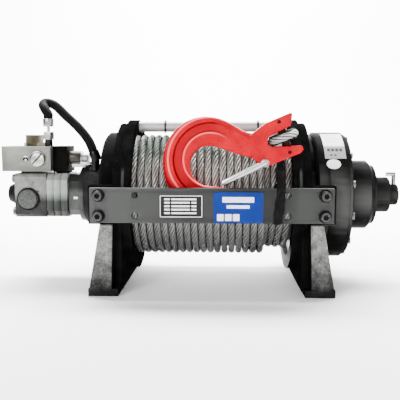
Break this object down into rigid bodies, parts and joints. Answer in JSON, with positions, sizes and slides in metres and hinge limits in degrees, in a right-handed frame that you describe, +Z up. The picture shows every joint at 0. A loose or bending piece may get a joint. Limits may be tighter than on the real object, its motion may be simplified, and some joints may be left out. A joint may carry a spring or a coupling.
{
  "type": "hydraulic winch",
  "caption": "Hydraulic drum winch on two cast supports, with orbital motor, planetary gearbox, wire rope, tie plate and a stowed clevis hook.",
  "frame": {"origin": "middle of the four base bolt holes, on the floor", "axes": "+X along the drum towards the gearbox, -Y towards the rope side with the tie plate, +Z up"},
  "size_m": [0.8153, 0.348, 0.3771],
  "materials": {
    "support_left": "rough cast black paint",
    "support_right": "rough cast black paint",
    "tie_plate": "satin black paint",
    "tie_plate_screws": "black oxide",
    "tie_rod_top": "bright steel",
    "tie_rods_rear": "black paint",
    "rod_sleeve_left": "bright steel",
    "rod_sleeve_right": "bright steel",
    "rod_washers": "black polymer",
    "rod_roller": "bright steel",
    "drum_barrel": "machined",
    "drum_flange_left": "black paint",
    "drum_flange_right": "black paint, worn bright inside",
    "drum_bearings": "ground steel",
    "rope_core": "inner rope layers",
    "rope_outer_layer": "galvanised wire rope",
    "rope_lower_layer": "galvanised wire rope",
    "rope_lead": "galvanised wire rope",
    "input_shaft": "ground gear steel",
    "sun_carrier_1": "ground gear steel",
    "carrier_2": "ground gear steel",
    "planet_1a": "ground gear steel",
    "planet_1b": "ground gear steel",
    "planet_1c": "ground gear steel",
    "planet_2a": "ground gear steel",
    "planet_2b": "ground gear steel",
    "planet_2c": "ground gear steel",
    "gear_housing": "satin black paint",
    "gear_cover": "satin black paint",
    "cover_screws": "bright heads",
    "clutch_housing": "satin black paint",
    "clutch_cap": "satin black paint",
    "clutch_plunger": "ground steel",
    "clutch_knob": "satin black paint",
    "clutch_lever": "polished",
    "hub_housing": "satin black paint",
    "brake_housing": "satin black paint",
    "brake_discs": "sintered lining",
    "brake_plates": "ground gear steel",
    "motor_flange": "grey casting",
    "gerotor_section": "ground plates",
    "motor_end_housing": "grey casting",
    "motor_screws": "dark steel",
    "motor_end_boss": "black",
    "motor_port_plug": "textured plug",
    "valve_block": "machined",
    "valve_spool_body": "black",
    "valve_adapter": "zinc plated",
    "valve_plugs": "zinc plated",
    "port_fitting": "olive passivated",
    "hose_fittings": "zinc plated",
    "brake_hose": "smooth black",
    "hook_body": "red paint",
    "hook_load_pin": "red paint",
    "hook_retaining_pins": "dark steel",
    "hook_thimble": "galvanised",
    "rope_eye": "galvanised wire rope",
    "rope_ferrule": "pressed",
    "hook_latch": "zinc plated sheet",
    "hook_strap": "black webbing"
  },
  "bodies": {
    "frame": {"support_left": "support_left", "support_right": "support_right", "tie_plate": "tie_plate", "tie_plate_screws": "tie_plate_screws", "tie_rod_top": "tie_rod_top", "tie_rods_rear": "tie_rods_rear", "rod_sleeve_left": "rod_sleeve_left", "rod_sleeve_right": "rod_sleeve_right", "rod_washers": "rod_washers", "drum_bearings": "drum_bearings", "gear_housing": "gear_housing", "gear_cover": "gear_cover", "cover_screws": "cover_screws", "clutch_housing": "clutch_housing", "clutch_cap": "clutch_cap", "hub_housing": "hub_housing", "brake_housing": "brake_housing", "brake_plates": "brake_plates", "motor_flange": "motor_flange", "gerotor_section": "gerotor_section", "motor_end_housing": "motor_end_housing", "motor_screws": "motor_screws", "motor_end_boss": "motor_end_boss", "motor_port_plug": "motor_port_plug", "valve_block": "valve_block", "valve_spool_body": "valve_spool_body", "valve_adapter": "valve_adapter", "valve_plugs": "valve_plugs", "port_fitting": "port_fitting", "hose_fittings": "hose_fittings", "brake_hose": "brake_hose", "hook_strap": "hook_strap"},
    "drum": {"drum_barrel": "drum_barrel", "drum_flange_left": "drum_flange_left", "drum_flange_right": "drum_flange_right", "rope_core": "rope_core", "rope_outer_layer": "rope_outer_layer", "rope_lower_layer": "rope_lower_layer", "carrier_2": "carrier_2"},
    "first_stage": {"sun_carrier_1": "sun_carrier_1"},
    "input": {"input_shaft": "input_shaft", "brake_discs": "brake_discs"},
    "roller": {"rod_roller": "rod_roller"},
    "clutch_handle": {"clutch_knob": "clutch_knob", "clutch_lever": "clutch_lever"},
    "plunger": {"clutch_plunger": "clutch_plunger"},
    "hook": {"hook_body": "hook_body", "hook_load_pin": "hook_load_pin", "hook_retaining_pins": "hook_retaining_pins", "hook_thimble": "hook_thimble", "rope_eye": "rope_eye", "rope_ferrule": "rope_ferrule", "rope_lead": "rope_lead"},
    "latch": {"hook_latch": "hook_latch"},
    "planet_1a": {"planet_1a": "planet_1a"},
    "planet_1b": {"planet_1b": "planet_1b"},
    "planet_1c": {"planet_1c": "planet_1c"},
    "planet_2a": {"planet_2a": "planet_2a"},
    "planet_2b": {"planet_2b": "planet_2b"},
    "planet_2c": {"planet_2c": "planet_2c"}
  },
  "joints": [
    {"name": "drum_spin", "type": "hinge", "parent": "frame", "child": "drum", "pos_m": [0, 0, 0.178], "axis": [1, 0, 0], "continuous": true, "deforming": ["rope_lead"]},
    {"name": "first_carrier_spin", "type": "hinge", "parent": "frame", "child": "first_stage", "pos_m": [0.235, 0, 0.178], "axis": [1, 0, 0], "continuous": true},
    {"name": "input_spin", "type": "hinge", "parent": "frame", "child": "input", "pos_m": [0, 0, 0.178], "axis": [1, 0, 0], "continuous": true},
    {"name": "planet_2a_spin", "type": "hinge", "parent": "drum", "child": "planet_2a", "pos_m": [0.22, 0, 0.2365], "axis": [1, 0, 0], "continuous": true},
    {"name": "planet_2b_spin", "type": "hinge", "parent": "drum", "child": "planet_2b", "pos_m": [0.22, -0.05066, 0.14875], "axis": [1, 0, 0], "continuous": true},
    {"name": "planet_2c_spin", "type": "hinge", "parent": "drum", "child": "planet_2c", "pos_m": [0.22, 0.05066, 0.14875], "axis": [1, 0, 0], "continuous": true},
    {"name": "planet_1a_spin", "type": "hinge", "parent": "first_stage", "child": "planet_1a", "pos_m": [0.246, 0, 0.2365], "axis": [1, 0, 0], "continuous": true},
    {"name": "planet_1b_spin", "type": "hinge", "parent": "first_stage", "child": "planet_1b", "pos_m": [0.246, -0.05066, 0.14875], "axis": [1, 0, 0], "continuous": true},
    {"name": "planet_1c_spin", "type": "hinge", "parent": "first_stage", "child": "planet_1c", "pos_m": [0.246, 0.05066, 0.14875], "axis": [1, 0, 0], "continuous": true},
    {"name": "roller_spin", "type": "hinge", "parent": "frame", "child": "roller", "pos_m": [0, 0, 0.319], "axis": [1, 0, 0], "continuous": true},
    {"name": "clutch_turn", "type": "hinge", "parent": "frame", "child": "clutch_handle", "pos_m": [0.38, 0, 0.178], "axis": [1, 0, 0], "range_deg": [0, 90]},
    {"name": "plunger_slide", "type": "slide", "parent": "frame", "child": "plunger", "axis": [1, 0, 0], "range_m": [0, 0.012]},
    {"name": "hook_lift", "type": "slide", "parent": "frame", "child": "hook", "axis": [0, 0, 1], "range_m": [0, 0.1], "deforming": ["rope_lead", "hook_strap"]},
    {"name": "latch_turn", "type": "hinge", "parent": "hook", "child": "latch", "pos_m": [0.09882, -0.141, 0.25022], "axis": [0, 1, 0], "range_deg": [0, 30], "stiffness_Nm_per_rad": 0.15, "springref_deg": -20.05}
  ],
  "couplings": [
    {"joint": "first_carrier_spin", "follows": "drum_spin", "ratio": 5.2},
    {"joint": "input_spin", "follows": "drum_spin", "ratio": 27.04},
    {"joint": "planet_2a_spin", "follows": "drum_spin", "ratio": -2.625},
    {"joint": "planet_2b_spin", "follows": "drum_spin", "ratio": -2.625},
    {"joint": "planet_2c_spin", "follows": "drum_spin", "ratio": -2.625},
    {"joint": "planet_1a_spin", "follows": "drum_spin", "ratio": -13.65},
    {"joint": "planet_1b_spin", "follows": "drum_spin", "ratio": -13.65},
    {"joint": "planet_1c_spin", "follows": "drum_spin", "ratio": -13.65},
    {"joint": "plunger_slide", "follows": "clutch_turn", "m_per_rad": 0.007639}
  ]
}
